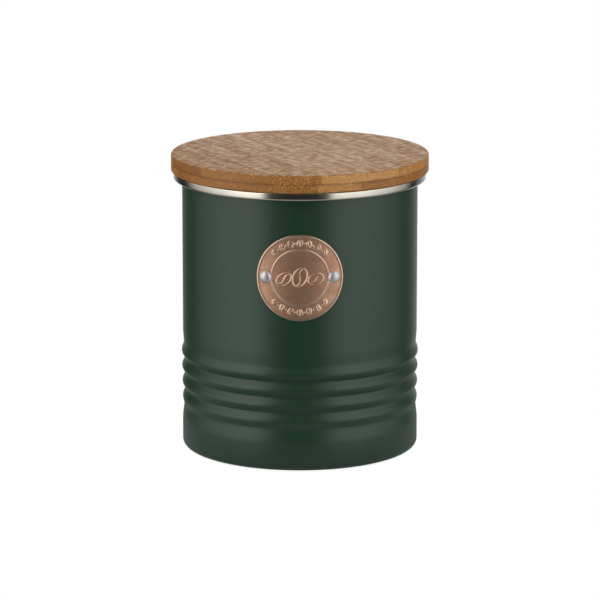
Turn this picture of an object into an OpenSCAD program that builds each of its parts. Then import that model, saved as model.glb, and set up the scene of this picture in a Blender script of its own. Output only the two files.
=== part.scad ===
// Round kitchen storage tin with a wooden lift-off lid.
// Origin: centre of the foot. +Z is up, the badge faces -Y.
// Sheet parts are drawn as half sections (radius, height) and turned about Z.

/* [Tin wall] */
// Outer radius of the straight upper wall
wall_r = 54.9; // [54:0.1:56]
// Thickness of the rolled steel wall
wall_t = 0.5; // [0.4:0.05:0.6]
// Height of the tin from the foot to the top of the rim
tin_h = 131; // [125:0.5:150]

/* [Beads] */
// Number of raised ribs rolled round the wall
bead_count = 4; // [2:1:5]
// Height of the top rib's crest
bead_top_z = 45.3; // [44:0.1:50]
// Distance from one rib to the next
bead_pitch = 7.3; // [7:0.1:7.6]
// How far the lowest rib's crest stands out from the upper wall
bead_rise = 0.25; // [0.1:0.05:0.5]
// How much further out each crest stands than the one below it
bead_rise_step = 0.12; // [0:0.02:0.15]
// Depth of the grooves between ribs, below the upper wall
bead_groove = 1.3; // [0.5:0.1:1.6]
// Depth of the shallow grooves above and below the set of ribs
bead_end_groove = 0.4; // [0.2:0.1:0.8]
// Share of each slope that bulges outward
bead_bulge = 0.7; // [0.4:0.05:0.8]
// Length over which the wall runs straight again above the ribs
blend_above = 6.9; // [4:0.1:10]
// Length over which the wall runs straight again below the ribs
blend_below = 9; // [6:0.5:9.5]

/* [Foot] */
// How much wider the wall is at the foot than above the ribs
foot_flare = 0.3; // [0:0.05:0.5]
// Outer radius of the rounded bottom edge
foot_round = 2.8; // [2:0.1:3.2]
// Width of the flat ring that the tin stands on
foot_ring_w = 4.9; // [3:0.1:6]
// Height of the base panel's upturned edge above the foot
base_edge_h = 8; // [5:0.5:9]
// How far the middle of the base panel is pressed up
base_recess = 2.5; // [1.5:0.1:4]

/* [Rim band] */
// Thickness of the polished band
rim_t = 0.5; // [0.4:0.05:0.6]
// How far the band stands out from the wall
rim_out = 4; // [3:0.1:5]
// Height of the band's outer face
rim_h = 3.9; // [3:0.1:5]
// Rounding of the band's outer corners
rim_corner = 1; // [0.7:0.1:1.3]
// Height of the band's skirt inside the mouth
skirt_h = 7; // [5:0.5:9]

/* [Badge] */
// Radius of the badge before it is bent round the wall
badge_r = 20; // [15:0.5:21]
// Height of the badge's centre above the foot
badge_z = 91.05; // [80:0.05:100]
// Thickness of the badge sheet
badge_t = 0.6; // [0.4:0.05:0.9]
// Width of the raised border round the badge
badge_border_w = 1.2; // [0.6:0.1:1.6]
// Radius of the raised line round the badge's middle
badge_line_r = 13.4; // [12:0.1:13.6]
// Width of that raised line
badge_line_w = 0.6; // [0.4:0.1:0.8]
// Height of the raised border and line above the sheet
badge_relief = 0.3; // [0.2:0.05:0.5]

/* [Rivets] */
// Angle of each rivet from the front, seen from above
rivet_angle = 16.3; // [15.8:0.1:16.8]
// Radius of the rivet's shank
rivet_shank_r = 1.6; // [1.2:0.1:1.8]
// Radius of the domed head
rivet_head_r = 2.8; // [2.4:0.1:3]
// Height of the domed head
rivet_head_h = 1.3; // [1:0.1:1.6]
// Radius of the flattened tail inside the tin
rivet_tail_r = 2.3; // [2:0.1:2.6]
// Height of that tail
rivet_tail_h = 1.1; // [0.8:0.1:1.4]

/* [Lid boards] */
// How far the lid stands out past the rim band
lid_out = 1.1; // [0.5:0.1:3]
// Thickness of the upper board
top_board_t = 4.2; // [3:0.1:6]
// Thickness of the lower board
low_board_t = 3.8; // [3:0.1:6]
// Rounding of the lid's top edge
top_edge_round = 0.8; // [0.4:0.1:1.5]
// Rounding of the lid's bottom edge
low_edge_round = 0.6; // [0.3:0.1:1.2]

/* [Lid plug and seal] */
// Gap all round between the plug and the rim's skirt
plug_gap = 2.35; // [2:0.05:3]
// Depth of the plug below the lid
plug_h = 9; // [8:0.5:14]
// Depth of the groove that holds the seal
groove_depth = 2.2; // [1.5:0.1:3]
// Height of that groove
groove_h = 4; // [3.5:0.1:4.5]
// Gap between the seal's fins and the rim's skirt
fin_gap = 0.25; // [0.2:0.05:0.6]

/* [Hidden] */
$fn = 180;

// Play left between pieces that are pressed together.
play = 0.05;
// Points along each slope of a rib, and along each rounded sheet corner.
slope_steps = 6;
corner_steps = 8;

foot_r = wall_r + foot_flare;
groove_r = wall_r - bead_groove;
end_groove_r = wall_r - bead_end_groove;
bead_low_z = bead_top_z - (bead_count - 1) * bead_pitch;

skirt_r = wall_r - wall_t - play - rim_t;
rim_r = wall_r + rim_out;
rim_low_z = tin_h - rim_h;

badge_in_r = wall_r + play;
badge_face_r = badge_in_r + badge_t;
badge_steps = 72;

lid_r = rim_r + lid_out;
board_seam_z = tin_h + low_board_t;
lid_top_z = board_seam_z + top_board_t;

plug_r = skirt_r - plug_gap;
plug_low_z = tin_h - plug_h;
seal_low_z = tin_h - plug_h / 2 - groove_h / 2;
fin_count = 2;
fin_root_t = 1;
fin_tip_t = 0.45;

// ---------- Shared section helpers ----------

// Points on an arc, from angle a0 to angle a1.
function arc(center, radius, a0, a1) =
    [for (i = [0:corner_steps])
        let (a = a0 + (a1 - a0) * i / corner_steps)
        [center[0] + radius * cos(a), center[1] + radius * sin(a)]];

function reversed(points) = [for (i = [len(points) - 1:-1:0]) points[i]];

// Share of the drop reached at t, going from a crest (0) to a groove (1).
function slope(t) =
    t < bead_bulge ? t * t / bead_bulge : 1 - (1 - t) * (1 - t) / (1 - bead_bulge);

// Points of the smooth slope between two knots, leaving out the last one.
function slope_points(a, b) =
    [for (i = [0:slope_steps - 1])
        let (t = i / slope_steps)
        [a[0] > b[0] ? a[0] + (b[0] - a[0]) * slope(t) : b[0] + (a[0] - b[0]) * slope(1 - t),
         a[1] + (b[1] - a[1]) * t]];

// Radius of a rib's crest; rib 0 is the lowest.
function crest_r(rib) = wall_r + bead_rise + rib * bead_rise_step;

// Where the wall's outline has a crest, a groove or the end of a blend, going up.
function bead_knots() = concat(
    [[foot_r, bead_low_z - bead_pitch / 2 - blend_below],
     [end_groove_r, bead_low_z - bead_pitch / 2],
     [crest_r(0), bead_low_z]],
    [for (i = [1:bead_count - 1], k = [0:1])
        k == 0 ? [groove_r, bead_low_z + (i - 0.5) * bead_pitch]
               : [crest_r(i), bead_low_z + i * bead_pitch]],
    [[end_groove_r, bead_top_z + bead_pitch / 2],
     [wall_r, bead_top_z + bead_pitch / 2 + blend_above]]);

function bead_outline() =
    let (knots = bead_knots())
    concat([for (i = [0:len(knots) - 2]) each slope_points(knots[i], knots[i + 1])],
           [knots[len(knots) - 1]]);

// Rectangle with rounded corners, from radius r0 to r1 and height z0 to z1.
module rounded_section(r0, r1, z0, z1, corner) {
    translate([r0 + corner, z0])
        square([r1 - r0 - 2 * corner, z1 - z0]);
    translate([r0, z0 + corner])
        square([r1 - r0, z1 - z0 - 2 * corner]);
    for (r = [r0 + corner, r1 - corner], z = [z0 + corner, z1 - corner])
        translate([r, z])
            circle(corner);
}

// Puts its children at one rivet, with their own +Z pointing out of the tin.
module at_rivet(side) {
    rotate([0, 0, side * rivet_angle])
        translate([0, 0, badge_z])
            rotate([90, 0, 0])
                children();
}

// ---------- Tin ----------

// Wall: turned-in foot ring, rounded edge, ribs, straight upper wall.
module wall_section() {
    bend = [foot_r - foot_round, foot_round];
    outer = concat(
        [[bend[0] - foot_ring_w, 0]],
        arc(bend, foot_round, -90, 0),
        bead_outline(),
        [[wall_r, tin_h - 2 * rim_t]]);
    inner = concat(
        [[bend[0] - foot_ring_w, wall_t]],
        arc(bend, foot_round - wall_t, -90, 0),
        [for (p = bead_outline()) [p[0] - wall_t, p[1]]],
        [[wall_r - wall_t, tin_h - 2 * rim_t]]);
    polygon(concat(outer, reversed(inner)));
}

module body_shell() {
    color([0.13, 0.24, 0.18])
        difference() {
            rotate_extrude()
                wall_section();
            for (side = [-1, 1])
                at_rivet(side)
                    cylinder(r = rivet_shank_r + play, h = wall_r + 1);
        }
}

// Base: pan pressed into the foot, its middle raised clear of the table.
module base_panel() {
    bend = [foot_r - foot_round, foot_round];
    pan_r = foot_round - wall_t - play;
    ring_in_r = bend[0] - foot_ring_w;
    low_z = wall_t + play;
    color([0.62, 0.63, 0.62])
        rotate_extrude()
            polygon(concat(
                [[0, low_z + base_recess], [ring_in_r - base_recess, low_z + base_recess],
                 [ring_in_r, low_z]],
                arc(bend, pan_r, -90, 0),
                [[bend[0] + pan_r, base_edge_h], [bend[0] + pan_r - wall_t, base_edge_h]],
                arc(bend, pan_r - wall_t, 0, -90),
                [[ring_in_r, low_z + wall_t], [ring_in_r - base_recess, low_z + base_recess + wall_t],
                 [0, low_z + base_recess + wall_t]]));
}

// Rim: band rolled over the wall's top edge, with a smooth skirt for the seal.
module rim_section() {
    wall_slot_w = wall_t + 2 * play;
    difference() {
        union() {
            rounded_section(skirt_r, rim_r, rim_low_z, tin_h, rim_corner);
            translate([skirt_r, tin_h - skirt_h])
                square([rim_t, skirt_h - rim_corner]);
        }
        rounded_section(skirt_r + rim_t, rim_r - rim_t, rim_low_z + rim_t, tin_h - rim_t,
                        rim_corner - rim_t);
        translate([skirt_r + rim_t, tin_h - skirt_h])
            square([wall_slot_w, skirt_h - 2 * rim_t]);
    }
}

module rim_band() {
    color([0.83, 0.82, 0.80])
        rotate_extrude()
            rim_section();
}

// ---------- Badge ----------

// Flat disc's outline after bending round the wall, seen from the front.
module bent_outline(radius) {
    polygon([for (i = [0:badge_steps - 1])
        let (a = 360 * i / badge_steps)
        [badge_face_r * sin(radius * cos(a) / badge_face_r * 180 / PI), radius * sin(a)]]);
}

// Part of the wall's jacket under a bent disc, from radius r_in to r_out.
module bent_disc(radius, r_in, r_out) {
    intersection() {
        translate([0, 0, badge_z - badge_r - 1])
            difference() {
                cylinder(r = r_out, h = 2 * badge_r + 2);
                translate([0, 0, -1])
                    cylinder(r = r_in, h = 2 * badge_r + 4);
            }
        translate([0, 0, badge_z])
            rotate([90, 0, 0])
                linear_extrude(r_out + 1)
                    bent_outline(radius);
    }
}

module bent_ring(outer_r, width, r_in, r_out) {
    difference() {
        bent_disc(outer_r, r_in, r_out);
        translate([0, 0, badge_z])
            rotate([90, 0, 0])
                linear_extrude(r_out + 2)
                    bent_outline(outer_r - width);
    }
}

module badge_plate() {
    color([0.66, 0.47, 0.37])
        difference() {
            union() {
                bent_disc(badge_r, badge_in_r, badge_face_r);
                bent_ring(badge_r, badge_border_w, badge_in_r, badge_face_r + badge_relief);
                bent_ring(badge_line_r, badge_line_w, badge_in_r, badge_face_r + badge_relief);
            }
            for (side = [-1, 1])
                at_rivet(side) {
                    cylinder(r = rivet_shank_r + play, h = badge_face_r + 1);
                    translate([0, 0, badge_face_r])
                        cylinder(r = rivet_head_r + play, h = 2);
                }
        }
}

// One rivet: domed head outside, shank through both sheets, flattened tail inside.
module rivet() {
    head_z = badge_face_r + play;
    dome_r = (rivet_head_r * rivet_head_r + rivet_head_h * rivet_head_h) / (2 * rivet_head_h);
    tail_z = wall_r - wall_t - 2 * play - rivet_tail_h;
    translate([0, 0, tail_z])
        cylinder(r = rivet_shank_r, h = head_z - tail_z + rivet_head_h / 4);
    translate([0, 0, tail_z])
        cylinder(r = rivet_tail_r, h = rivet_tail_h);
    translate([0, 0, head_z])
        intersection() {
            translate([0, 0, rivet_head_h - dome_r])
                sphere(r = dome_r);
            cylinder(r = rivet_head_r + 1, h = rivet_head_h + 1);
        }
}

module badge_rivets() {
    color([0.78, 0.79, 0.80])
        for (side = [-1, 1])
            at_rivet(side)
                rivet();
}

// ---------- Lid ----------

// Disc with one rounded edge: the upper edge if up is true, else the lower edge.
module board_section(z0, z1, edge, up) {
    edge_z = up ? z1 - edge : z0 + edge;
    translate([0, z0])
        square([lid_r - edge, z1 - z0]);
    translate([0, up ? z0 : edge_z])
        square([lid_r, z1 - z0 - edge]);
    translate([lid_r - edge, edge_z])
        circle(edge);
}

module lid_top_board() {
    color([0.72, 0.56, 0.44])
        rotate_extrude()
            board_section(board_seam_z, lid_top_z, top_edge_round, true);
}

module lid_lower_board() {
    color([0.62, 0.44, 0.30])
        rotate_extrude()
            board_section(tin_h, board_seam_z, low_edge_round, false);
}

module lid_plug() {
    color([0.70, 0.54, 0.40])
        difference() {
            translate([0, 0, plug_low_z])
                cylinder(r = plug_r, h = plug_h);
            translate([0, 0, seal_low_z])
                difference() {
                    cylinder(r = plug_r + 1, h = groove_h);
                    translate([0, 0, -1])
                        cylinder(r = plug_r - groove_depth, h = groove_h + 2);
                }
        }
}

// Seal: ring in the plug's groove, with soft fins that lean upward.
module lid_seal() {
    ring_in_r = plug_r - groove_depth + play;
    fin_r = skirt_r - fin_gap;
    fin_pitch = (groove_h - fin_root_t - 4 * play) / (fin_count - 1);
    color([0.86, 0.86, 0.83])
        rotate_extrude() {
            translate([ring_in_r, seal_low_z + play])
                square([plug_r - ring_in_r, groove_h - 2 * play]);
            for (i = [0:fin_count - 1])
                translate([0, seal_low_z + 2 * play + i * fin_pitch])
                    polygon([[plug_r - play, 0], [fin_r, fin_root_t / 2],
                             [fin_r, fin_root_t / 2 + fin_tip_t], [plug_r - play, fin_root_t]]);
        }
}

body_shell();
base_panel();
rim_band();
badge_plate();
badge_rivets();
lid_top_board();
lid_lower_board();
lid_plug();
lid_seal();
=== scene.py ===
"""Looks of a round kitchen storage tin with a lift-off bamboo lid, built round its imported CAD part.

Lengths named _MM are millimetres and are turned into metres where points are made. Sheet parts are
closed loops of (radius, height) points turned about Z. The badge faces -Y and the camera.
"""

import math

import bmesh
import bpy
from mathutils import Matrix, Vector


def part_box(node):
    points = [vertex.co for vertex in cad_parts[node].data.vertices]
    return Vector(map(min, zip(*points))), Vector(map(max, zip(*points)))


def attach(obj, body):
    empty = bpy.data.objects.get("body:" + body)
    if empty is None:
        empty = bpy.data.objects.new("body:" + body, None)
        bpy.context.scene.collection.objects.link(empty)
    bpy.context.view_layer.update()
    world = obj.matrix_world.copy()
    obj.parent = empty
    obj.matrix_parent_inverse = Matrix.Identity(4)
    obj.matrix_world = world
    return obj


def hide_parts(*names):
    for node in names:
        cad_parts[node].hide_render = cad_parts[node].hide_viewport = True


MM = 0.001

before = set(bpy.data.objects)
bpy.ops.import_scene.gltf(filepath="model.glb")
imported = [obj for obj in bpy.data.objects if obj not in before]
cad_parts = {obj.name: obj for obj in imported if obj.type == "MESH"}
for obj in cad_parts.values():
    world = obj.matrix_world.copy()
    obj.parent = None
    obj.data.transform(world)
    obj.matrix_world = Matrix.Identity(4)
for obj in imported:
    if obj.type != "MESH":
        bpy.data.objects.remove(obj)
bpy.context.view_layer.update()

# ---------- Places and sizes, from the CAD part ----------

WALL_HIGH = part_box("body_shell")[1]
BASE_LOW, BASE_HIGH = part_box("base_panel")
RIM_LOW, RIM_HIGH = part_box("rim_band")
BADGE_LOW, BADGE_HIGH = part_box("badge_plate")
RIVETS_LOW, RIVETS_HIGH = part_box("badge_rivets")
TOP_LOW, TOP_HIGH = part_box("lid_top_board")
LOWER_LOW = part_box("lid_lower_board")[0]
PLUG_LOW, PLUG_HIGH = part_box("lid_plug")
SEAL_LOW, SEAL_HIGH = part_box("lid_seal")

# Wall sheet: straight upper wall, ribs, rounded bottom edge and turned-in foot.
WALL_R_MM = 54.9
SHEET_MM = 0.5
FOOT_FLARE_MM = 0.3
FOOT_ROUND_MM = 2.8
FOOT_RING_MM = 4.9
RIB_COUNT = 4
TOP_RIB_MM = 45.3
RIB_PITCH_MM = 7.3
LOW_RIB_RISE_MM = 0.25
RIB_RISE_STEP_MM = 0.12
GROOVE_MM = 1.15
END_GROOVE_MM = 0.4
CREST_SHARE = 0.38
GROOVE_SHARE = 0.14
BLEND_ABOVE_MM = 6.9
BLEND_BELOW_MM = 7.5
RIB_STEPS = 11

# The wall's welded seam at the back: half its width, the overlap's edge and height, the bead's groove,
# and the finer mesh columns that carry it.
SEAM_HALF_MM = 1.6
SEAM_LAP_MM = 1.1
SEAM_LIFT_MM = 0.07
SEAM_LINE_MM = 0.25
SEAM_LINE_DEPTH_MM = 0.05
SEAM_COLUMNS = 11
SEAM_COLUMN_DEG = 0.15
SEAM_CLEAR_DEG = 1.7

# Base pan: how far its middle is raised, the width of the slope up to it, and its pressed ring.
PAN_RISE_MM = 2.5
PAN_SLOPE_MM = 2.5
PAN_RING_SHARE = 0.62
PAN_RING_FOOT_MM = 3.0
PAN_RING_TOP_MM = 1.2
PAN_RING_RISE_MM = 0.55
PAN_TIP_MM = 0.1

# Rim band: outer face, rolled corners and the skirt inside the mouth.
RIM_CORNER_MM = 1.0
RIM_FACE_MM = 3.9
SKIRT_IN_R_MM = 53.85

# Badge: a disc bent round the wall, with a raised border, a raised line and raised ornament.
BADGE_R_MM = 20.0
BADGE_BACK_MM = 54.95
BADGE_FACE_MM = 55.55
BORDER_W_MM = 0.9
LINE_R_MM = 13.1
LINE_W_MM = 0.6
RELIEF_MM = 0.3
# Beans drawn in raised line: centre, turn and half length.
DRAWN_BEANS = (
    ((-7.3, -0.7), 0.62, 3.7),
    ((0.0, 0.2), 1.15, 4.5),
    ((7.3, -0.7), 0.35, 3.7),
)
BEAN_LINE_MM = 0.40
BEAN_PLUMPNESS = 0.69
# Small solid beans in the ring, with dots between them.
BEAN_RING_MM = 16.1
BEAN_SPACING = math.radians(15.0)
BEANS_EACH_SIDE = 3
BEAN_LEAN = 0.35
SMALL_BEAN_LENGTH_MM = 1.75
SMALL_BEAN_WIDTH_MM = 1.25
DOT_R_MM = 0.45
# Rivets: place either side of the middle, head, shank and flattened tail.
RIVET_ANGLE = math.radians(16.3)
RIVET_HEAD_R_MM = 2.8
RIVET_HEAD_H_MM = 1.3
RIVET_SHANK_R_MM = 1.6
RIVET_TAIL_R_MM = 2.3
RIVET_TAIL_H_MM = 1.1

# Lid: rounded edges, the ply line, and the plug's groove.
TOP_EDGE_MM = 0.8
LOW_EDGE_MM = 0.6
PLY_CHAMFER_MM = 0.06
PLUG_EDGE_MM = 0.8
GROOVE_DEPTH_MM = 2.2
GROOVE_H_MM = 4.0

# The bamboo's fibres run front to back, turned a little about Z.
GRAIN_TURN = math.radians(27)
# The boards are glued from strips; each has its tone in the upper board, its tone in the lower
# board and the strength of its dots, from 0 to 1.
STRIP_W = 0.020
STRIP_START = -0.0783
LOWER_STRIP_SHIFT = 0.0015
STRIPS = (
    (0.14, 0.16, 0.25),
    (0.35, 0.32, 0.15),
    (0.66, 0.58, 1.00),
    (0.98, 0.78, 0.35),
    (0.95, 0.45, 0.30),
    (0.74, 0.37, 0.25),
    (0.54, 0.38, 0.30),
)

# Mesh steps: round the tin, round the badge and across it, round a rivet and over its dome.
ROUND_STEPS = 360
BADGE_STEPS = 600
BADGE_RINGS = 108
RIVET_STEPS = 72
DOME_STEPS = 18
# A higher power gives a rivet head with a flatter middle and steeper sides.
DOME_POWER = 2.7

# Camera: where the photograph was taken from. Lengths in metres, angle in degrees, lens in millimetres.
CAMERA_DISTANCE = 1.7826
CAMERA_RISE = 12.552
CAMERA_AIM_HEIGHT = 0.068525
CAMERA_LENS = 227.9
CAMERA_SENSOR = 36
CAMERA_SHIFT_X = 0.0002

# Floor: a plain disc just under the tin, white to the camera and one even grey in reflections.
FLOOR_R = 0.12
FLOOR_DROP = 0.0003
FLOOR_WHITE = 0.86
FLOOR_PAINT = 0.5
FLOOR_IN_REFLECTIONS = 0.30


# ---------- Mesh helpers ----------

def arc(centre, radius, start, end, steps):
    """Points on an arc; the angles are in degrees."""
    points = []
    for i in range(steps + 1):
        angle = math.radians(start + (end - start) * i / steps)
        points.append((centre[0] + radius * math.cos(angle), centre[1] + radius * math.sin(angle)))
    return points


def rounded(corners, steps=6):
    """Closed loop through (radius, height, rounding) corners, each with its own rounding."""
    loop = []
    count = len(corners)
    for i, (x, y, rounding) in enumerate(corners):
        here = Vector((x, y))
        before = Vector(corners[i - 1][:2]) - here
        after = Vector(corners[(i + 1) % count][:2]) - here
        if rounding <= 0:
            loop.append((x, y))
            continue
        half = before.angle(after) / 2
        reach = rounding / math.tan(half)
        centre = here + (before.normalized() + after.normalized()).normalized() * rounding / math.sin(half)
        start = here + before.normalized() * reach - centre
        end = here + after.normalized() * reach - centre
        turn = start.angle_signed(end)
        for k in range(steps + 1):
            spin = -turn * k / steps
            cos, sin = math.cos(spin), math.sin(spin)
            loop.append((centre.x + start.x * cos - start.y * sin, centre.y + start.x * sin + start.y * cos))
    return loop


def even_angles(steps=ROUND_STEPS):
    return [2 * math.pi * i / steps for i in range(steps)]


def make_piece(name, points, faces, materials, face_materials=None, sharp_above=35):
    """Mesh object with smooth faces, split only at edges sharper than sharp_above degrees."""
    mesh = bpy.data.meshes.new(name)
    mesh.from_pydata(points, [], faces)
    for material in materials:
        mesh.materials.append(material)
    if face_materials:
        mesh.polygons.foreach_set("material_index", face_materials)
    work = bmesh.new()
    work.from_mesh(mesh)
    bmesh.ops.recalc_face_normals(work, faces=work.faces)
    limit = math.radians(sharp_above)
    for face in work.faces:
        face.smooth = True
    for edge in work.edges:
        edge.smooth = len(edge.link_faces) == 2 and edge.calc_face_angle() < limit
    work.to_mesh(mesh)
    work.free()
    piece = bpy.data.objects.new(name, mesh)
    bpy.context.scene.collection.objects.link(piece)
    return piece


def turned(name, loop, materials, pick=None, angles=None, shift=None, sharp_above=35):
    """Closed loop of (radius, height) points in millimetres, turned about Z.

    A point on the axis becomes a pole. pick(i) gives the material index of the faces between
    loop points i and i + 1. shift(angle, radius, height) moves a point's radius.
    """
    angles = angles or even_angles()
    points = []
    rings = []
    for radius, height in loop:
        if radius < 1e-6:
            rings.append([len(points)])
            points.append((0.0, 0.0, height * MM))
            continue
        ring = []
        for angle in angles:
            r = radius + (shift(angle, radius, height) if shift else 0)
            ring.append(len(points))
            points.append((r * MM * math.cos(angle), r * MM * math.sin(angle), height * MM))
        rings.append(ring)
    faces = []
    face_materials = []
    count = len(angles)
    for i, ring in enumerate(rings):
        following = rings[(i + 1) % len(rings)]
        if len(ring) == 1 and len(following) == 1:
            continue
        for k in range(count):
            n = (k + 1) % count
            if len(ring) == 1:
                faces.append((ring[0], following[k], following[n]))
            elif len(following) == 1:
                faces.append((ring[k], following[0], ring[n]))
            else:
                faces.append((ring[k], following[k], following[n], ring[n]))
            face_materials.append(pick(i) if pick else 0)
    return make_piece(name, points, faces, materials, face_materials, sharp_above)


def smooth_step(value, low, high):
    t = min(1.0, max(0.0, (value - low) / (high - low)))
    return t * t * (3 - 2 * t)


# ---------- Node helpers ----------

class Graph:
    """Short calls for the shader nodes that the materials share."""

    def __init__(self, tree):
        self.tree = tree

    def node(self, kind, **settings):
        made = self.tree.nodes.new(kind)
        for key, value in settings.items():
            setattr(made, key, value)
        return made

    def put(self, socket, value):
        """Links value to the socket if it is a socket, and sets it if it is a number or colour."""
        if isinstance(value, bpy.types.NodeSocket):
            self.tree.links.new(value, socket)
        else:
            socket.default_value = value

    def math(self, operation, a, b=0.0, c=0.0):
        made = self.node("ShaderNodeMath", operation=operation)
        for socket, value in zip(made.inputs, (a, b, c)):
            self.put(socket, value)
        return made.outputs[0]

    def step(self, value, low, high, to_low=0.0, to_high=1.0):
        """Smooth change from to_low to to_high as value goes from low to high."""
        made = self.node("ShaderNodeMapRange", interpolation_type="SMOOTHSTEP")
        for name, given in zip(
            ("Value", "From Min", "From Max", "To Min", "To Max"), (value, low, high, to_low, to_high)
        ):
            self.put(made.inputs[name], given)
        return made.outputs["Result"]

    def step_even(self, value, low, high):
        """Even change from 0 to 1 as value goes from low to high."""
        made = self.node("ShaderNodeMapRange")
        self.put(made.inputs["Value"], value)
        made.inputs["From Min"].default_value = low
        made.inputs["From Max"].default_value = high
        return made.outputs["Result"]

    def place(self):
        """The point's place on the object, in metres."""
        return self.node("ShaderNodeTexCoord").outputs["Object"]

    def split(self, vector):
        made = self.node("ShaderNodeSeparateXYZ")
        self.put(made.inputs[0], vector)
        return made.outputs

    def join(self, x, y, z):
        made = self.node("ShaderNodeCombineXYZ")
        for socket, value in zip(made.inputs, (x, y, z)):
            self.put(socket, value)
        return made.outputs[0]

    def stretch(self, vector, scale):
        made = self.node("ShaderNodeVectorMath", operation="MULTIPLY")
        self.put(made.inputs[0], vector)
        made.inputs[1].default_value = scale
        return made.outputs[0]

    def noise(self, vector, scale, detail=3.0, roughness=0.5):
        made = self.node("ShaderNodeTexNoise")
        self.put(made.inputs["Vector"], vector)
        made.inputs["Scale"].default_value = scale
        made.inputs["Detail"].default_value = detail
        made.inputs["Roughness"].default_value = roughness
        return made.outputs["Fac"]

    def cells(self, vector, scale, dimensions="2D", scatter=1.0):
        """Distance from the nearest of many scattered points, and a random value for each."""
        made = self.node("ShaderNodeTexVoronoi", voronoi_dimensions=dimensions)
        self.put(made.inputs["Vector"], vector)
        made.inputs["Scale"].default_value = scale
        made.inputs["Randomness"].default_value = scatter
        return made.outputs["Distance"], made.outputs["Color"]

    def blend(self, share, a, b, kind="MIX"):
        made = self.node("ShaderNodeMix", data_type="RGBA", blend_type=kind)
        self.put(made.inputs[0], share)
        self.put(made.inputs[6], a)
        self.put(made.inputs[7], b)
        return made.outputs[2]

    def mix_shaders(self, share, a, b):
        """Shader that is a where share is 0 and b where it is 1."""
        made = self.node("ShaderNodeMixShader")
        for socket, value in zip(made.inputs, (share, a, b)):
            self.tree.links.new(value, socket)
        return made.outputs[0]

    def ramp(self, value, stops, kind="LINEAR"):
        """Colour that goes through the (position, colour) stops."""
        made = self.node("ShaderNodeValToRGB")
        made.color_ramp.interpolation = kind
        elements = made.color_ramp.elements
        elements[0].position, elements[0].color = stops[0]
        elements[1].position, elements[1].color = stops[-1]
        for position, colour in stops[1:-1]:
            elements.new(position).color = colour
        self.put(made.inputs[0], value)
        return made.outputs["Color"]

    def bump(self, height, distance, strength=1.0, below=None):
        made = self.node("ShaderNodeBump")
        made.inputs["Strength"].default_value = strength
        made.inputs["Distance"].default_value = distance
        self.put(made.inputs["Height"], height)
        if below:
            self.put(made.inputs["Normal"], below)
        return made.outputs["Normal"]


def new_material(name, **constants):
    """Material with one Principled shader, its constant values set on the shader itself."""
    material = bpy.data.materials.new(name)
    material.use_nodes = True
    tree = material.node_tree
    tree.nodes.clear()
    shader = tree.nodes.new("ShaderNodeBsdfPrincipled")
    output = tree.nodes.new("ShaderNodeOutputMaterial")
    tree.links.new(shader.outputs["BSDF"], output.inputs["Surface"])
    for socket, value in constants.items():
        shader.inputs[socket.replace("_", " ")].default_value = value
    return material, Graph(tree), shader


def grey(value):
    return (value, value, value, 1.0)


# ---------- Materials ----------

# Bamboo from light to dark, a painted sheen that greys and pales its flat faces, and the glue between its
# boards.
BAMBOO = (
    (0.90, 0.455, 0.135, 1.0),
    (0.58, 0.245, 0.052, 1.0),
    (0.31, 0.115, 0.019, 1.0),
)
PAINTED_SHEEN = (0.965, 1.21, 1.86, 1.0)
GLUE = (0.13, 0.045, 0.012, 1.0)


def green_paint():
    """Powder coat: satin, with a fine orange-peel surface and a faint slow unevenness."""
    material, g, shader = new_material("green_powder_coat", Specular_IOR_Level=0.62)
    place = g.place()
    slow = g.noise(place, 26, 2)
    cloud = g.noise(place, 240, 4, 0.6)
    tone = g.math("MULTIPLY_ADD", cloud, 0.35, g.math("MULTIPLY", slow, 0.65))
    colour = g.ramp(tone, [
        (0.30, (0.0143, 0.0505, 0.0252, 1.0)),
        (0.70, (0.0168, 0.0580, 0.0292, 1.0)),
    ])
    g.put(shader.inputs["Base Color"], colour)
    g.put(shader.inputs["Roughness"], g.step(cloud, 0.25, 0.75, 0.33, 0.38))
    peel = g.noise(place, 1100, 2, 0.5)
    wave = g.noise(place, 95, 1)
    swell = g.bump(wave, 0.00012, 0.5)
    g.put(shader.inputs["Normal"], g.bump(peel, 0.00003, 0.5, swell))
    return material


def brushed_metal(name, light, dark, roughness, spread):
    """Metal with fine lines round the tin, where the tool turned against it."""
    material, g, shader = new_material(name, Metallic=1.0)
    place = g.place()
    fine = g.noise(g.stretch(place, (22.0, 22.0, 3800.0)), 1.0, 3, 0.6)
    stain = g.noise(place, 60, 4, 0.6)
    tone = g.math("MULTIPLY_ADD", fine, 0.4, g.math("MULTIPLY", stain, 0.6))
    g.put(shader.inputs["Base Color"], g.ramp(tone, [(0.35, dark), (0.62, light)]))
    g.put(shader.inputs["Roughness"], g.step(tone, 0.3, 0.7, roughness + spread, roughness - spread))
    g.put(shader.inputs["Normal"], g.bump(fine, 0.000004, 0.6))
    return material


def tinned_steel():
    """Bare tinned sheet: soft grey with a faint spangle and upright rolling lines."""
    material, g, shader = new_material("tinned_steel", Metallic=1.0)
    place = g.place()
    _, spangle = g.cells(place, 260, "3D")
    roll = g.noise(g.stretch(place, (2600.0, 2600.0, 30.0)), 1.0, 2)
    cloud = g.noise(place, 55, 3)
    patch = g.split(spangle)[0]
    tone = g.math("MULTIPLY_ADD", roll, 0.25, g.math("MULTIPLY", cloud, 0.5))
    tone = g.math("MULTIPLY_ADD", patch, 0.25, tone)
    g.put(shader.inputs["Base Color"], g.ramp(tone, [
        (0.25, (0.60, 0.61, 0.61, 1.0)),
        (0.75, (0.78, 0.78, 0.77, 1.0)),
    ]))
    g.put(shader.inputs["Roughness"], g.step(tone, 0.2, 0.8, 0.42, 0.28))
    g.put(shader.inputs["Normal"], g.bump(roll, 0.000006, 0.5))
    return material


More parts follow.
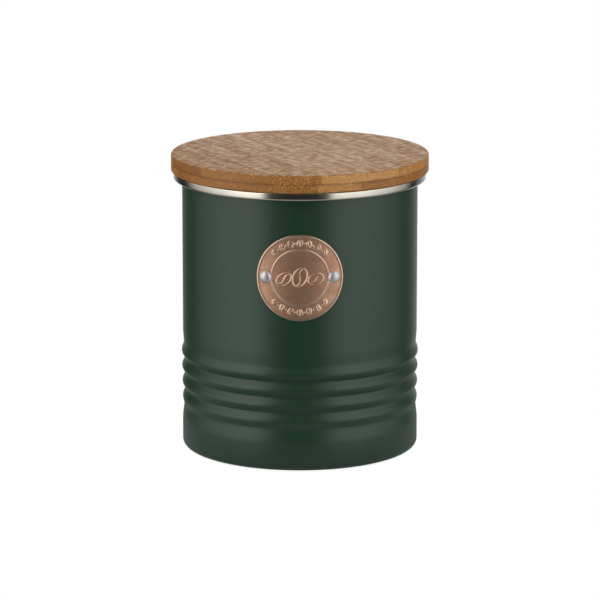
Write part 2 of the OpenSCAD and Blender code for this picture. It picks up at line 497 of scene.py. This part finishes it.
def copper():
    """Antiqued copper: dark in the hollows, lighter where the relief stands up, partly real wear to the bare
    copper and partly a painted highlight on the raised edges.
    """
    material, g, shader = new_material("antique_copper", Metallic=1.0)
    place = g.place()
    relief = g.node("ShaderNodeAttribute", attribute_name="relief").outputs["Fac"]
    brushed = g.noise(g.stretch(place, (260.0, 260.0, 5200.0)), 1.0, 3, 0.6)
    patina = g.noise(place, 210, 5, 0.65)
    specks = g.noise(place, 1500, 2)
    # Lighter colour on raised relief: partly real wear, partly a painted highlight.
    wear_and_highlight = g.step(relief, 0.25, 0.9)
    flat = g.ramp(g.math("MULTIPLY_ADD", brushed, 0.35, g.math("MULTIPLY", patina, 0.65)), [
        (0.34, (0.57, 0.310, 0.200, 1.0)),
        (0.52, (0.75, 0.435, 0.285, 1.0)),
        (0.68, (0.88, 0.555, 0.385, 1.0)),
    ])
    bright = g.ramp(patina, [
        (0.30, (0.80, 0.55, 0.41, 1.0)),
        (0.70, (0.91, 0.69, 0.54, 1.0)),
    ])
    g.put(shader.inputs["Base Color"], g.blend(wear_and_highlight, flat, bright))
    rough = g.step(patina, 0.3, 0.7, 0.50, 0.42)
    g.put(shader.inputs["Roughness"], g.math("SUBTRACT", rough, g.math("MULTIPLY", wear_and_highlight, 0.14)))
    grain = g.math("MULTIPLY_ADD", brushed, 0.6, g.math("MULTIPLY", specks, 0.4))
    g.put(shader.inputs["Normal"], g.bump(grain, 0.000012, 0.6))
    return material


def bamboo_strip(g, across, z):
    """Tone and strength of dots of the glued strip that a point lies in."""
    lower = g.math("LESS_THAN", z, TOP_LOW.z)
    shifted = g.math("MULTIPLY_ADD", lower, LOWER_STRIP_SHIFT, across)
    strips = g.ramp(g.step_even(shifted, STRIP_START, STRIP_START + STRIP_W * len(STRIPS)), [
        (i / len(STRIPS), (*strip, 1.0)) for i, strip in enumerate(STRIPS)
    ], "CONSTANT")
    upper_tone, lower_tone, dots = g.split(strips)
    change = g.math("MULTIPLY", lower, g.math("SUBTRACT", lower_tone, upper_tone))
    return g.math("ADD", upper_tone, change), dots


def bamboo_bundles(g, across, z):
    """Dots of the fibre bundles where they are cut across, each with its own size."""
    distance, chance = g.cells(g.join(across, z, 0.0), 1300, scatter=0.8)
    size = g.step(g.split(chance)[0], 0.0, 1.0, 0.26, 0.44)
    return g.step(g.math("DIVIDE", distance, size), 0.4, 1.3, 1.0, 0.0)


def bamboo_glue(g, z, colour):
    """Colour with a dark, uneven glue line between the two boards."""
    seam = g.math("ABSOLUTE", g.math("SUBTRACT", z, TOP_LOW.z))
    uneven = g.noise(g.place(), 75, 3, 0.7)
    width = g.step(uneven, 0.35, 0.7, 0.0002, 0.0012)
    line = g.math("MULTIPLY", g.step(g.math("DIVIDE", seam, width), 0.1, 1.2, 1.0, 0.0), 0.42)
    return g.blend(line, colour, GLUE)


def bamboo(name, tint):
    """Pressed bamboo strips: dots where fibre bundles are cut across, short flecks on the flat faces."""
    material, g, shader = new_material(name, Specular_IOR_Level=0.5)
    x, y, z = g.split(g.place())
    turn_cos, turn_sin = math.cos(GRAIN_TURN), math.sin(GRAIN_TURN)
    across = g.math("MULTIPLY_ADD", x, turn_cos, g.math("MULTIPLY", y, turn_sin))
    along = g.math("MULTIPLY_ADD", y, turn_cos, g.math("MULTIPLY", x, -turn_sin))
    nx, ny, nz = g.split(g.node("ShaderNodeTexCoord").outputs["Normal"])
    facing = g.math("MULTIPLY_ADD", ny, turn_cos, g.math("MULTIPLY", nx, -turn_sin))
    cut_across = g.step(g.math("ABSOLUTE", facing), 0.25, 0.95)
    upright = g.math("ABSOLUTE", nz)

    def by_face(on_edge, on_flat):
        return g.step(upright, 0.3, 0.9, on_edge, on_flat)

    strip_tone, strip_dots = bamboo_strip(g, across, z)

    # Fibres wander a little along their length.
    wander = g.noise(g.join(across, along, z), 26, 2)
    across = g.math("MULTIPLY_ADD", wander, 0.006, across)
    bundles = bamboo_bundles(g, across, z)
    fine = g.noise(g.join(g.math("MULTIPLY", across, 0.12), g.math("MULTIPLY", along, 0.5), z), 2400, 2, 0.6)
    fleck = g.noise(g.join(g.math("MULTIPLY", across, 0.40), g.math("MULTIPLY", along, 1.6), z), 620, 3, 0.65)
    streak = g.noise(g.join(across, g.math("MULTIPLY", along, 0.08), z), 330, 4, 0.7)

    # The flat faces show more contrast between flecks, and less between strips, than the edges.
    texture = g.math("MULTIPLY_ADD", fleck, 0.38, g.math("MULTIPLY", streak, 0.28))
    texture = g.math("MULTIPLY_ADD", fine, 0.34, texture)
    contrast, middle_tone = by_face(0.55, 1.40), by_face(0.480, 0.460)
    tone = g.math("MULTIPLY_ADD", g.math("SUBTRACT", texture, 0.5), contrast, middle_tone)
    tone = g.math("MULTIPLY_ADD", g.math("SUBTRACT", strip_tone, 0.5), by_face(0.30, 0.04), tone)
    light, middle, dark = tint
    colour = g.ramp(tone, [(0.34, dark), (0.50, middle), (0.66, light)])
    # Painted sheen: the lighter parts of the flat faces are greyed and paled, standing in for the reflection
    # of the pale wall behind.
    pale = g.math("MULTIPLY", by_face(0.0, 1.0), g.step(tone, 0.28, 0.62))
    colour = g.blend(pale, colour, PAINTED_SHEEN, "MULTIPLY")
    strength = g.math("MULTIPLY", strip_dots, g.step(cut_across, 0.0, 1.0, 0.12, 1.0))
    pith = tuple(channel * 0.54 for channel in dark[:3]) + (1.0,)
    colour = g.blend(g.math("MULTIPLY", bundles, strength), colour, pith)
    g.put(shader.inputs["Base Color"], bamboo_glue(g, z, colour))
    g.put(shader.inputs["Roughness"], g.step(tone, 0.38, 0.58, by_face(0.52, 0.68), by_face(0.42, 0.38)))
    relief = g.math("SUBTRACT", g.math("MULTIPLY", fine, 0.6), g.math("MULTIPLY", bundles, 0.4))
    g.put(shader.inputs["Normal"], g.bump(relief, 0.00004, 0.5))
    return material


def silicone():
    """Milky silicone rubber with a matte, slightly dusty skin."""
    material, g, shader = new_material("silicone_rubber", IOR=1.41)
    place = g.place()
    cloud = g.noise(place, 120, 4, 0.6)
    dust = g.noise(place, 2600, 2)
    g.put(shader.inputs["Base Color"], g.ramp(cloud, [
        (0.3, (0.66, 0.66, 0.62, 1.0)),
        (0.7, (0.78, 0.78, 0.75, 1.0)),
    ]))
    g.put(shader.inputs["Roughness"], g.step(dust, 0.3, 0.7, 0.42, 0.58))
    g.put(shader.inputs["Normal"], g.bump(dust, 0.00001, 0.5))
    return material


# ---------- Tin ----------

def rib_slope(t):
    """Share of the drop at t, going from a crest (0) to a groove (1)."""
    steepest = 1 / (1 - CREST_SHARE / 2 - GROOVE_SHARE / 2)
    if t < CREST_SHARE:
        return steepest * t * t / (2 * CREST_SHARE)
    if t < 1 - GROOVE_SHARE:
        return steepest * (t - CREST_SHARE / 2)
    return 1 - steepest * (1 - t) * (1 - t) / (2 * GROOVE_SHARE)


def wall_outline():
    """Outer face of the wall from the rounded foot's end up to the rim, in millimetres."""
    low_rib = TOP_RIB_MM - (RIB_COUNT - 1) * RIB_PITCH_MM
    foot_r = WALL_R_MM + FOOT_FLARE_MM
    knots = [
        (foot_r, low_rib - RIB_PITCH_MM / 2 - BLEND_BELOW_MM),
        (WALL_R_MM - END_GROOVE_MM, low_rib - RIB_PITCH_MM / 2),
    ]
    for rib in range(RIB_COUNT):
        if rib:
            knots.append((WALL_R_MM - GROOVE_MM, low_rib + (rib - 0.5) * RIB_PITCH_MM))
        knots.append((WALL_R_MM + LOW_RIB_RISE_MM + rib * RIB_RISE_STEP_MM, low_rib + rib * RIB_PITCH_MM))
    knots.append((WALL_R_MM - END_GROOVE_MM, TOP_RIB_MM + RIB_PITCH_MM / 2))
    knots.append((WALL_R_MM, TOP_RIB_MM + RIB_PITCH_MM / 2 + BLEND_ABOVE_MM))
    points = []
    for (r0, z0), (r1, z1) in zip(knots, knots[1:]):
        for i in range(RIB_STEPS):
            t = i / RIB_STEPS
            share = rib_slope(t) if r0 > r1 else 1 - rib_slope(1 - t)
            points.append((r0 + (r1 - r0) * share, z0 + (z1 - z0) * t))
    points.append(knots[-1])
    return points


def seam_lift(angle, radius, height):
    """The wall's welded seam, at the back: a low step where the sheet's ends meet under the paint."""
    across = (angle - math.pi / 2) * radius
    if abs(across) > SEAM_HALF_MM or height < FOOT_ROUND_MM:
        return 0.0
    lap = smooth_step(SEAM_LAP_MM - abs(across), 0.0, 0.5)
    line = smooth_step(SEAM_LINE_MM - abs(across), 0.0, 0.2)
    return SEAM_LIFT_MM * lap - SEAM_LINE_DEPTH_MM * line


def make_wall(paint, steel):
    """Wall sheet: painted outside and round its cut edge, bare inside."""
    foot_r = WALL_R_MM + FOOT_FLARE_MM
    bend = (foot_r - FOOT_ROUND_MM, FOOT_ROUND_MM)
    top = WALL_HIGH.z / MM
    outline = wall_outline()
    lip = SHEET_MM / 2
    outer = arc(bend, FOOT_ROUND_MM, -90, 0, 10) + outline + [(WALL_R_MM, top)]
    inner = [(WALL_R_MM - SHEET_MM, top)] + [(r - SHEET_MM, z) for r, z in reversed(outline)]
    inner += arc(bend, FOOT_ROUND_MM - SHEET_MM, 0, -90, 10)
    ring_in = bend[0] - FOOT_RING_MM
    edge = arc((ring_in, lip), lip, 90, 270, 6)
    loop = outer + inner + edge
    painted = len(outer)
    back = math.pi / 2
    columns = range(-SEAM_COLUMNS, SEAM_COLUMNS + 1)
    fine = [back + math.radians(SEAM_COLUMN_DEG * i) for i in columns]
    angles = [a for a in even_angles() if abs(a - back) > math.radians(SEAM_CLEAR_DEG)] + fine
    angles.sort()

    def pick(i):
        return 0 if i < painted or i >= painted + len(inner) - 1 else 1

    wall = turned("tin_wall", loop, [paint, steel], pick, angles, seam_lift)
    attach(wall, "tin")
    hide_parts("body_shell")


def make_base(paint, steel):
    """Base pan: pressed up in the middle with a shallow ring, its edge turned up inside the wall."""
    low = BASE_LOW.z / MM
    high = BASE_HIGH.z / MM
    edge_r = BASE_HIGH.x / MM
    pan_round = edge_r - (WALL_R_MM + FOOT_FLARE_MM - FOOT_ROUND_MM)
    flat_r = edge_r - pan_round
    step_out = flat_r - FOOT_RING_MM
    step_in = step_out - PAN_SLOPE_MM
    raised = low + PAN_RISE_MM
    ring_r = step_in * PAN_RING_SHARE
    under = [
        (0, raised),
        (ring_r - PAN_RING_FOOT_MM, raised),
        (ring_r - PAN_RING_TOP_MM, raised + PAN_RING_RISE_MM),
        (ring_r + PAN_RING_TOP_MM, raised + PAN_RING_RISE_MM),
        (ring_r + PAN_RING_FOOT_MM, raised),
        (step_in, raised),
        (step_out, low),
        (flat_r, low),
    ]
    soft = [0, 1.5, 1.5, 1.5, 1.5, 1.0, 1.0, 0]
    corners = [(r, z, rounding) for (r, z), rounding in zip(under, soft)]
    outer = rounded(corners, 5)
    outer += arc((flat_r, low + pan_round), pan_round, -90, 0, 8)[1:]
    outer.append((edge_r, high - PAN_TIP_MM))
    inner = [(edge_r - SHEET_MM, high - PAN_TIP_MM)]
    inner += arc((flat_r, low + pan_round), pan_round - SHEET_MM, 0, -90, 8)
    lifted = [(r, z + SHEET_MM, rounding) for r, z, rounding in corners[:-1]]
    lifted.append((flat_r, low + SHEET_MM, 0))
    inner += [point for point in reversed(rounded(lifted, 5)) if point[0] < flat_r]
    loop = outer + [(edge_r - SHEET_MM / 2, high)] + inner
    painted = len(outer) + 1
    base = turned("tin_base", loop, [paint, steel], lambda i: 0 if i < painted else 1)
    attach(base, "tin")
    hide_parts("base_panel")


def make_rim(steel):
    """Rim band: a rolled C section over the wall's edge, and its skirt down inside the mouth."""
    out_r = RIM_HIGH.x / MM
    top = RIM_HIGH.z / MM
    face_low = top - RIM_FACE_MM
    skirt_low = RIM_LOW.z / MM
    t = SHEET_MM
    corner = RIM_CORNER_MM
    slot_r = SKIRT_IN_R_MM + t
    wall_r = WALL_R_MM + 0.05
    corners = [
        (SKIRT_IN_R_MM, skirt_low, 0.2),
        (SKIRT_IN_R_MM, top, corner),
        (out_r, top, corner),
        (out_r, face_low, corner),
        (wall_r, face_low, 0.2),
        (wall_r, face_low + t, 0.2),
        (out_r - t, face_low + t, corner - t),
        (out_r - t, top - t, corner - t),
        (slot_r, top - t, 0.1),
        (slot_r, skirt_low, 0.2),
    ]
    rim = turned("rim_ring", rounded(corners, 8), [steel])
    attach(rim, "tin")
    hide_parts("rim_band")


# ---------- Badge ----------

def bean_shape(x, y, length, width):
    """How far a point is outside a bean's outline, and how far it is from the bean's curved crease."""
    reach = math.hypot(x / length, y / width)
    slope = math.hypot(x / length ** 2, y / width ** 2) / max(reach, 1e-6)
    outside = (reach - 1) / max(slope, 1e-6)
    crease = 0.30 * width * math.sin(math.pi * x / length)
    bend = 0.30 * width * math.pi / length * math.cos(math.pi * x / length)
    return outside, abs(y - crease) / math.hypot(1, bend)


def turned_point(x, y, centre, angle):
    """The point seen from a shape that sits at centre, turned by angle."""
    dx, dy = x - centre[0], y - centre[1]
    cos, sin = math.cos(angle), math.sin(angle)
    return dx * cos + dy * sin, dy * cos - dx * sin


def line_height(distance, width):
    return smooth_step(width / 2 + 0.12 - distance, 0.0, 0.2)


def drawn_bean(x, y):
    """Three coffee beans drawn in raised line, across the badge's middle."""
    height = 0.0
    for centre, angle, size in DRAWN_BEANS:
        bx, by = turned_point(x, y, centre, angle)
        if math.hypot(bx, by) > size + 1:
            continue
        outside, crease = bean_shape(bx, by, size, BEAN_PLUMPNESS * size)
        height = max(height, line_height(abs(outside), BEAN_LINE_MM))
        if outside < 0:
            height = max(height, line_height(crease, BEAN_LINE_MM))
    return height


def small_bean(x, y):
    """Fourteen small solid beans with dots between them, in two arcs above and below the middle."""
    angle = math.atan2(x, y)
    if abs(angle) > math.pi / 2:
        angle = math.copysign(math.pi - abs(angle), angle)
        y = -y
    place = max(-BEANS_EACH_SIDE, min(BEANS_EACH_SIDE, round(angle / BEAN_SPACING)))
    turn = place * BEAN_SPACING
    lean = BEAN_LEAN if place % 2 else -BEAN_LEAN
    centre = (BEAN_RING_MM * math.sin(turn), BEAN_RING_MM * math.cos(turn))
    bx, by = turned_point(x, y, centre, math.pi / 2 - turn + lean)
    outside, crease = bean_shape(bx, by, SMALL_BEAN_LENGTH_MM, SMALL_BEAN_WIDTH_MM)
    dome = 0.75 + 0.25 * smooth_step(-outside, 0.0, 0.9)
    edge = smooth_step(0.20 - outside, 0.0, 0.42)
    height = edge * dome * (1 - 0.85 * smooth_step(0.32 - crease, 0.0, 0.25))
    gap = (math.floor(angle / BEAN_SPACING) + 0.5) * BEAN_SPACING
    if abs(gap) < BEANS_EACH_SIDE * BEAN_SPACING:
        away = math.hypot(x - BEAN_RING_MM * math.sin(gap), y - BEAN_RING_MM * math.cos(gap))
        height = max(height, 0.8 * smooth_step(DOT_R_MM - away, 0.0, 0.25))
    return height


def badge_relief(x, y):
    """Height of the badge's relief at a point of the flat disc, from 0 to 1."""
    radius = math.hypot(x, y)
    border = smooth_step(radius, BADGE_R_MM - BORDER_W_MM - 0.15, BADGE_R_MM - BORDER_W_MM + 0.15)
    height = max(border, line_height(abs(radius - LINE_R_MM), LINE_W_MM))
    if LINE_R_MM + 0.6 < radius < BADGE_R_MM - BORDER_W_MM - 0.3:
        height = max(height, small_bean(x, y))
    elif radius < LINE_R_MM - 0.6:
        height = max(height, drawn_bean(x, y))
    rivet_x = RIVET_ANGLE * BADGE_FACE_MM
    clear = math.hypot(abs(x) - rivet_x, y)
    if radius < BADGE_R_MM - BORDER_W_MM - 0.3:
        height *= smooth_step(clear, RIVET_HEAD_R_MM + 0.1, RIVET_HEAD_R_MM + 0.7)
    return height


def make_badge(metal):
    """Badge: a round grid bent round the wall, its relief raised from the face, closed at the back."""
    middle_z = (BADGE_LOW.z + BADGE_HIGH.z) / 2 / MM
    angles = even_angles(BADGE_STEPS)
    face_rings = [BADGE_R_MM * (i / BADGE_RINGS) for i in range(1, BADGE_RINGS - 1)]
    points = []
    relief = []
    rings = []

    def add(x, y, radius, height):
        turn = x / BADGE_FACE_MM
        points.append((radius * MM * math.sin(turn), -radius * MM * math.cos(turn), (middle_z + y) * MM))
        relief.append(height)

    def add_ring(ring_r, radius, fixed=None):
        # Scales the relief's wear and painted highlight; the border band gets less of both.
        relief_highlight_scale = 0.62 if BADGE_R_MM - BORDER_W_MM + 0.2 < ring_r < BADGE_R_MM - 0.3 else 1.0
        ring = []
        for angle in angles:
            x, y = ring_r * math.cos(angle), ring_r * math.sin(angle)
            height = badge_relief(x, y) if fixed is None else fixed
            ring.append(len(points))
            add(x, y, radius + (height * RELIEF_MM if fixed is None else 0), height * relief_highlight_scale)
        rings.append(ring)

    middle = badge_relief(0, 0)
    add(0, 0, BADGE_FACE_MM + middle * RELIEF_MM, middle)
    for ring_r in face_rings:
        add_ring(ring_r, BADGE_FACE_MM)
    edge_top = BADGE_FACE_MM + RELIEF_MM
    for ring_r, drop in ((19.78, 0.02), (19.90, 0.07), (19.97, 0.14), (BADGE_R_MM, 0.25)):
        add_ring(ring_r, edge_top - drop, 1.0)
    add_ring(BADGE_R_MM, BADGE_BACK_MM + 0.1, 0.4)
    add_ring(BADGE_R_MM - 0.1, BADGE_BACK_MM, 0.0)
    for ring_r in (15.0, 10.0, 5.0):
        add_ring(ring_r, BADGE_BACK_MM, 0.0)
    last = len(points)
    add(0, 0, BADGE_BACK_MM, 0.0)

    count = len(angles)
    faces = []
    for k in range(count):
        n = (k + 1) % count
        faces.append((0, rings[0][k], rings[0][n]))
        faces.append((last, rings[-1][n], rings[-1][k]))
        for inner, outer in zip(rings, rings[1:]):
            faces.append((inner[k], outer[k], outer[n], inner[n]))
    badge = make_piece("badge", points, faces, [metal], sharp_above=60)
    layer = badge.data.attributes.new("relief", "FLOAT", "POINT")
    layer.data.foreach_set("value", relief)
    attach(badge, "tin")
    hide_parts("badge_plate")


def make_rivets(metal):
    """Two rivets: domed head outside, shank through both sheets, flattened tail inside."""
    middle_z = (RIVETS_LOW.z + RIVETS_HIGH.z) / 2
    head_base = BADGE_FACE_MM + 0.05
    dome = []
    for i in range(1, DOME_STEPS):
        share = math.cos(math.pi / 2 * i / DOME_STEPS)
        height = 0.05 + (RIVET_HEAD_H_MM - 0.05) * (1 - share ** DOME_POWER)
        dome.append((RIVET_HEAD_R_MM * share, head_base + height))
    tail_low = WALL_R_MM - SHEET_MM - 0.1 - RIVET_TAIL_H_MM
    lip = RIVET_HEAD_R_MM
    loop = [
        (0, tail_low),
        (RIVET_TAIL_R_MM * 0.6, tail_low + 0.03),
        (RIVET_TAIL_R_MM - 0.25, tail_low + 0.12),
        (RIVET_TAIL_R_MM, tail_low + 0.45),
        (RIVET_TAIL_R_MM, tail_low + RIVET_TAIL_H_MM - 0.2),
        (RIVET_TAIL_R_MM - 0.2, tail_low + RIVET_TAIL_H_MM),
        (RIVET_SHANK_R_MM, tail_low + RIVET_TAIL_H_MM),
        (RIVET_SHANK_R_MM, head_base),
        (lip - 0.12, head_base),
        (lip, head_base + 0.05),
    ] + dome + [(0, head_base + RIVET_HEAD_H_MM)]
    for side, name in ((-1, "rivet_left"), (1, "rivet_right")):
        rivet = turned(name, loop, [metal], angles=even_angles(RIVET_STEPS))
        turn = RIVET_ANGLE * side
        out = Vector((math.sin(turn), -math.cos(turn), 0))
        basis = out.to_track_quat("Z", "Y").to_matrix().to_4x4()
        basis.translation = Vector((0, 0, middle_z))
        rivet.data.transform(basis)
        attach(rivet, "tin")
        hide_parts("badge_rivets")


# ---------- Lid ----------

def make_boards(top_wood, side_wood):
    """Two boards glued face to face; a fine groove shows where they meet."""
    out_r = TOP_HIGH.x / MM
    seam = TOP_LOW.z / MM
    top = TOP_HIGH.z / MM
    low = LOWER_LOW.z / MM
    chamfer = PLY_CHAMFER_MM
    upper = rounded([
        (0, seam, 0),
        (out_r - chamfer, seam, 0),
        (out_r, seam + chamfer, 0.05),
        (out_r, top, TOP_EDGE_MM),
        (0, top, 0),
    ], 10)
    lower = rounded([
        (0, low, 0),
        (out_r, low, LOW_EDGE_MM),
        (out_r, seam - chamfer, 0.05),
        (out_r - chamfer, seam, 0),
        (0, seam, 0),
    ], 10)
    pieces = (("lid_board_top", upper, top_wood, "lid_top_board", "bamboo_top"),
              ("lid_board_low", lower, side_wood, "lid_lower_board", "bamboo_side"))
    for name, loop, wood, node, slot in pieces:
        board = turned(name, loop, [wood])
        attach(board, "lid")
        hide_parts(node)


def make_plug(wood):
    """Plug: a disc under the boards with a groove round it for the seal."""
    out_r = PLUG_HIGH.x / MM
    low = PLUG_LOW.z / MM
    high = PLUG_HIGH.z / MM
    groove_low = (low + high) / 2 - GROOVE_H_MM / 2
    floor_r = out_r - GROOVE_DEPTH_MM
    loop = rounded([
        (0, low, 0),
        (out_r, low, PLUG_EDGE_MM),
        (out_r, groove_low, 0.2),
        (floor_r, groove_low, 0.1),
        (floor_r, groove_low + GROOVE_H_MM, 0.1),
        (out_r, groove_low + GROOVE_H_MM, 0.2),
        (out_r, high, 0),
        (0, high, 0),
    ])
    plug = turned("lid_plug_disc", loop, [wood])
    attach(plug, "lid")
    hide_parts("lid_plug")


def make_seal(rubber):
    """Seal: a ring in the plug's groove with two soft fins that lean upward."""
    plug_r = PLUG_HIGH.x / MM
    fin_r = SEAL_HIGH.x / MM
    low = SEAL_LOW.z / MM
    high = SEAL_HIGH.z / MM
    in_r = plug_r - GROOVE_DEPTH_MM + 0.05
    pitch = high - low - 1.0 - 0.1
    corners = [(in_r, low, 0.2), (plug_r, low, 0.05)]
    for i in range(2):
        base = low + 0.05 + i * pitch
        corners += [
            (plug_r, base + 0.02, 0.05),
            (fin_r, base + 0.5, 0.15),
            (fin_r, base + 0.95, 0.15),
            (plug_r, base + 0.97, 0.3),
        ]
    corners += [(plug_r, high, 0.01), (in_r, high, 0.2)]
    seal = turned("lid_seal_ring", rounded(corners, 5), [rubber])
    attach(seal, "lid")
    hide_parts("lid_seal")


# ---------- Studio ----------

def make_camera():
    """Camera at the photograph's place."""
    rise = math.radians(CAMERA_RISE)
    data = bpy.data.cameras.new("camera")
    data.lens = CAMERA_LENS
    data.sensor_width = CAMERA_SENSOR
    data.shift_x = CAMERA_SHIFT_X
    data.clip_start = 0.1
    data.clip_end = 20
    camera = bpy.data.objects.new("camera", data)
    back = Vector((0, -math.cos(rise), math.sin(rise)))
    camera.location = Vector((0, 0, CAMERA_AIM_HEIGHT)) + back * CAMERA_DISTANCE
    camera.rotation_mode = "QUATERNION"
    camera.rotation_quaternion = (-back).to_track_quat("-Z", "Y")
    bpy.context.scene.collection.objects.link(camera)
    bpy.context.scene.camera = camera


def make_floor():
    """Pale round floor, lit to white from above. Seen from below it lets the view through."""
    points = [(FLOOR_R * math.cos(a), FLOOR_R * math.sin(a), -FLOOR_DROP) for a in even_angles(128)]
    material = bpy.data.materials.new("floor")
    material.use_nodes = True
    tree = material.node_tree
    tree.nodes.clear()
    g = Graph(tree)
    seen = g.node("ShaderNodeEmission")
    seen.inputs["Strength"].default_value = FLOOR_WHITE
    paint = g.node("ShaderNodeBsdfDiffuse")
    paint.inputs["Color"].default_value = grey(FLOOR_PAINT)
    lit = g.node("ShaderNodeAddShader")
    tree.links.new(seen.outputs[0], lit.inputs[0])
    tree.links.new(paint.outputs[0], lit.inputs[1])
    bounce = g.node("ShaderNodeEmission")
    bounce.inputs["Strength"].default_value = FLOOR_IN_REFLECTIONS
    camera_ray = g.node("ShaderNodeLightPath").outputs["Is Camera Ray"]
    shown = g.mix_shaders(camera_ray, bounce.outputs[0], lit.outputs[0])
    from_below = g.node("ShaderNodeNewGeometry").outputs["Backfacing"]
    clear = g.node("ShaderNodeBsdfTransparent").outputs[0]
    output = g.node("ShaderNodeOutputMaterial")
    tree.links.new(g.mix_shaders(from_below, shown, clear), output.inputs["Surface"])
    mesh = bpy.data.meshes.new("floor")
    mesh.from_pydata(points, [], [tuple(range(len(points)))])
    mesh.materials.append(material)
    floor = bpy.data.objects.new("floor", mesh)
    bpy.context.scene.collection.objects.link(floor)


def make_light():
    """Plain studio light: a tall soft window on each side, a pale wall behind and a soft ceiling.

    Angles are in degrees: side is 0 toward the front and grows to the right, rise is 0 at the horizon.
    """
    world = bpy.data.worlds.new("studio")
    bpy.context.scene.world = world
    world.use_nodes = True
    tree = world.node_tree
    tree.nodes.clear()
    g = Graph(tree)
    x, y, z = g.split(g.node("ShaderNodeTexCoord").outputs["Generated"])
    side = g.math("MULTIPLY", g.math("ARCTAN2", x, g.math("MULTIPLY", y, -1.0)), 180 / math.pi)
    rise = g.math("MULTIPLY", g.math("ARCSINE", z), 180 / math.pi)

    def window(value, low, high, soft_low, soft_high):
        """1 between low and high, with soft edges."""
        opening = g.step(value, low - soft_low, low + soft_low)
        closing = g.step(value, high - soft_high, high + soft_high, 1.0, 0.0)
        return g.math("MULTIPLY", opening, closing)

    def fall(value, near, far, least):
        """Even fall from 1 at near to least at far."""
        made = g.node("ShaderNodeMapRange")
        for name, given in (("From Min", near), ("From Max", far), ("To Min", 1.0), ("To Max", least)):
            made.inputs[name].default_value = given
        g.put(made.inputs["Value"], value)
        return made.outputs["Result"]

    tall = g.math("MULTIPLY", g.step(rise, -56, 6), g.step(rise, 64, 84, 1.0, 0.0))
    tall = g.math("MULTIPLY", tall, g.step(g.math("ABSOLUTE", x), 0.22, 0.48))
    left = g.math("MULTIPLY", window(side, -119, -33, 8, 4), tall)
    left = g.math("MULTIPLY", left, fall(side, -58, -118, 0.23))
    right = g.math("MULTIPLY", window(side, 28.5, 115, 4, 9), tall)
    right = g.math("MULTIPLY", right, fall(side, 60, 112, 0.32))
    behind = g.math("MULTIPLY", g.step(g.math("ABSOLUTE", side), 150, 172), window(rise, 0, 45, 10, 12))
    behind_low = g.math("MULTIPLY", g.step(g.math("ABSOLUTE", side), 140, 175), window(rise, -40, 0, 10, 10))
    right_rear = g.math("MULTIPLY", window(side, 136, 176, 10, 4), window(rise, -40, 40, 10, 10))
    below = g.step(rise, -50, -34, 1.0, 0.0)
    ceiling = g.step(rise, 66, 80)
    total = 0.025
    parts = (
        (left, 1.57),
        (right, 1.31),
        (behind, 1.19),
        (behind_low, 0.62),
        (right_rear, 0.25),
        (below, 0.45),
        (ceiling, 0.62),
    )
    for part, strength in parts:
        total = g.math("MULTIPLY_ADD", part, strength, total)
    lamp = g.node("ShaderNodeBackground")
    tree.links.new(total, lamp.inputs["Strength"])
    lamp.inputs["Color"].default_value = grey(1.0)
    white = g.node("ShaderNodeBackground")
    white.inputs["Color"].default_value = grey(1.0)
    white.inputs["Strength"].default_value = 1.0
    camera_ray = g.node("ShaderNodeLightPath").outputs["Is Camera Ray"]
    shown = g.mix_shaders(camera_ray, lamp.outputs[0], white.outputs[0])
    output = g.node("ShaderNodeOutputWorld")
    tree.links.new(shown, output.inputs["Surface"])
    bpy.context.scene.view_settings.view_transform = "Standard"


# ---------- Scene ----------

make_camera()
make_floor()
make_light()

paint = green_paint()
steel = tinned_steel()
polished = brushed_metal("polished_steel", (0.75, 0.705, 0.615, 1.0), (0.65, 0.61, 0.53, 1.0), 0.17, 0.03)
aluminium = brushed_metal("rivet_aluminium", (0.78, 0.78, 0.77, 1.0), (0.69, 0.69, 0.68, 1.0), 0.46, 0.05)
make_wall(paint, steel)
make_base(paint, steel)
make_rim(polished)
make_badge(copper())
make_rivets(aluminium)
make_boards(bamboo("bamboo_top", BAMBOO), bamboo("bamboo_side", BAMBOO))
make_plug(bamboo("bamboo_plug", BAMBOO))
make_seal(silicone())
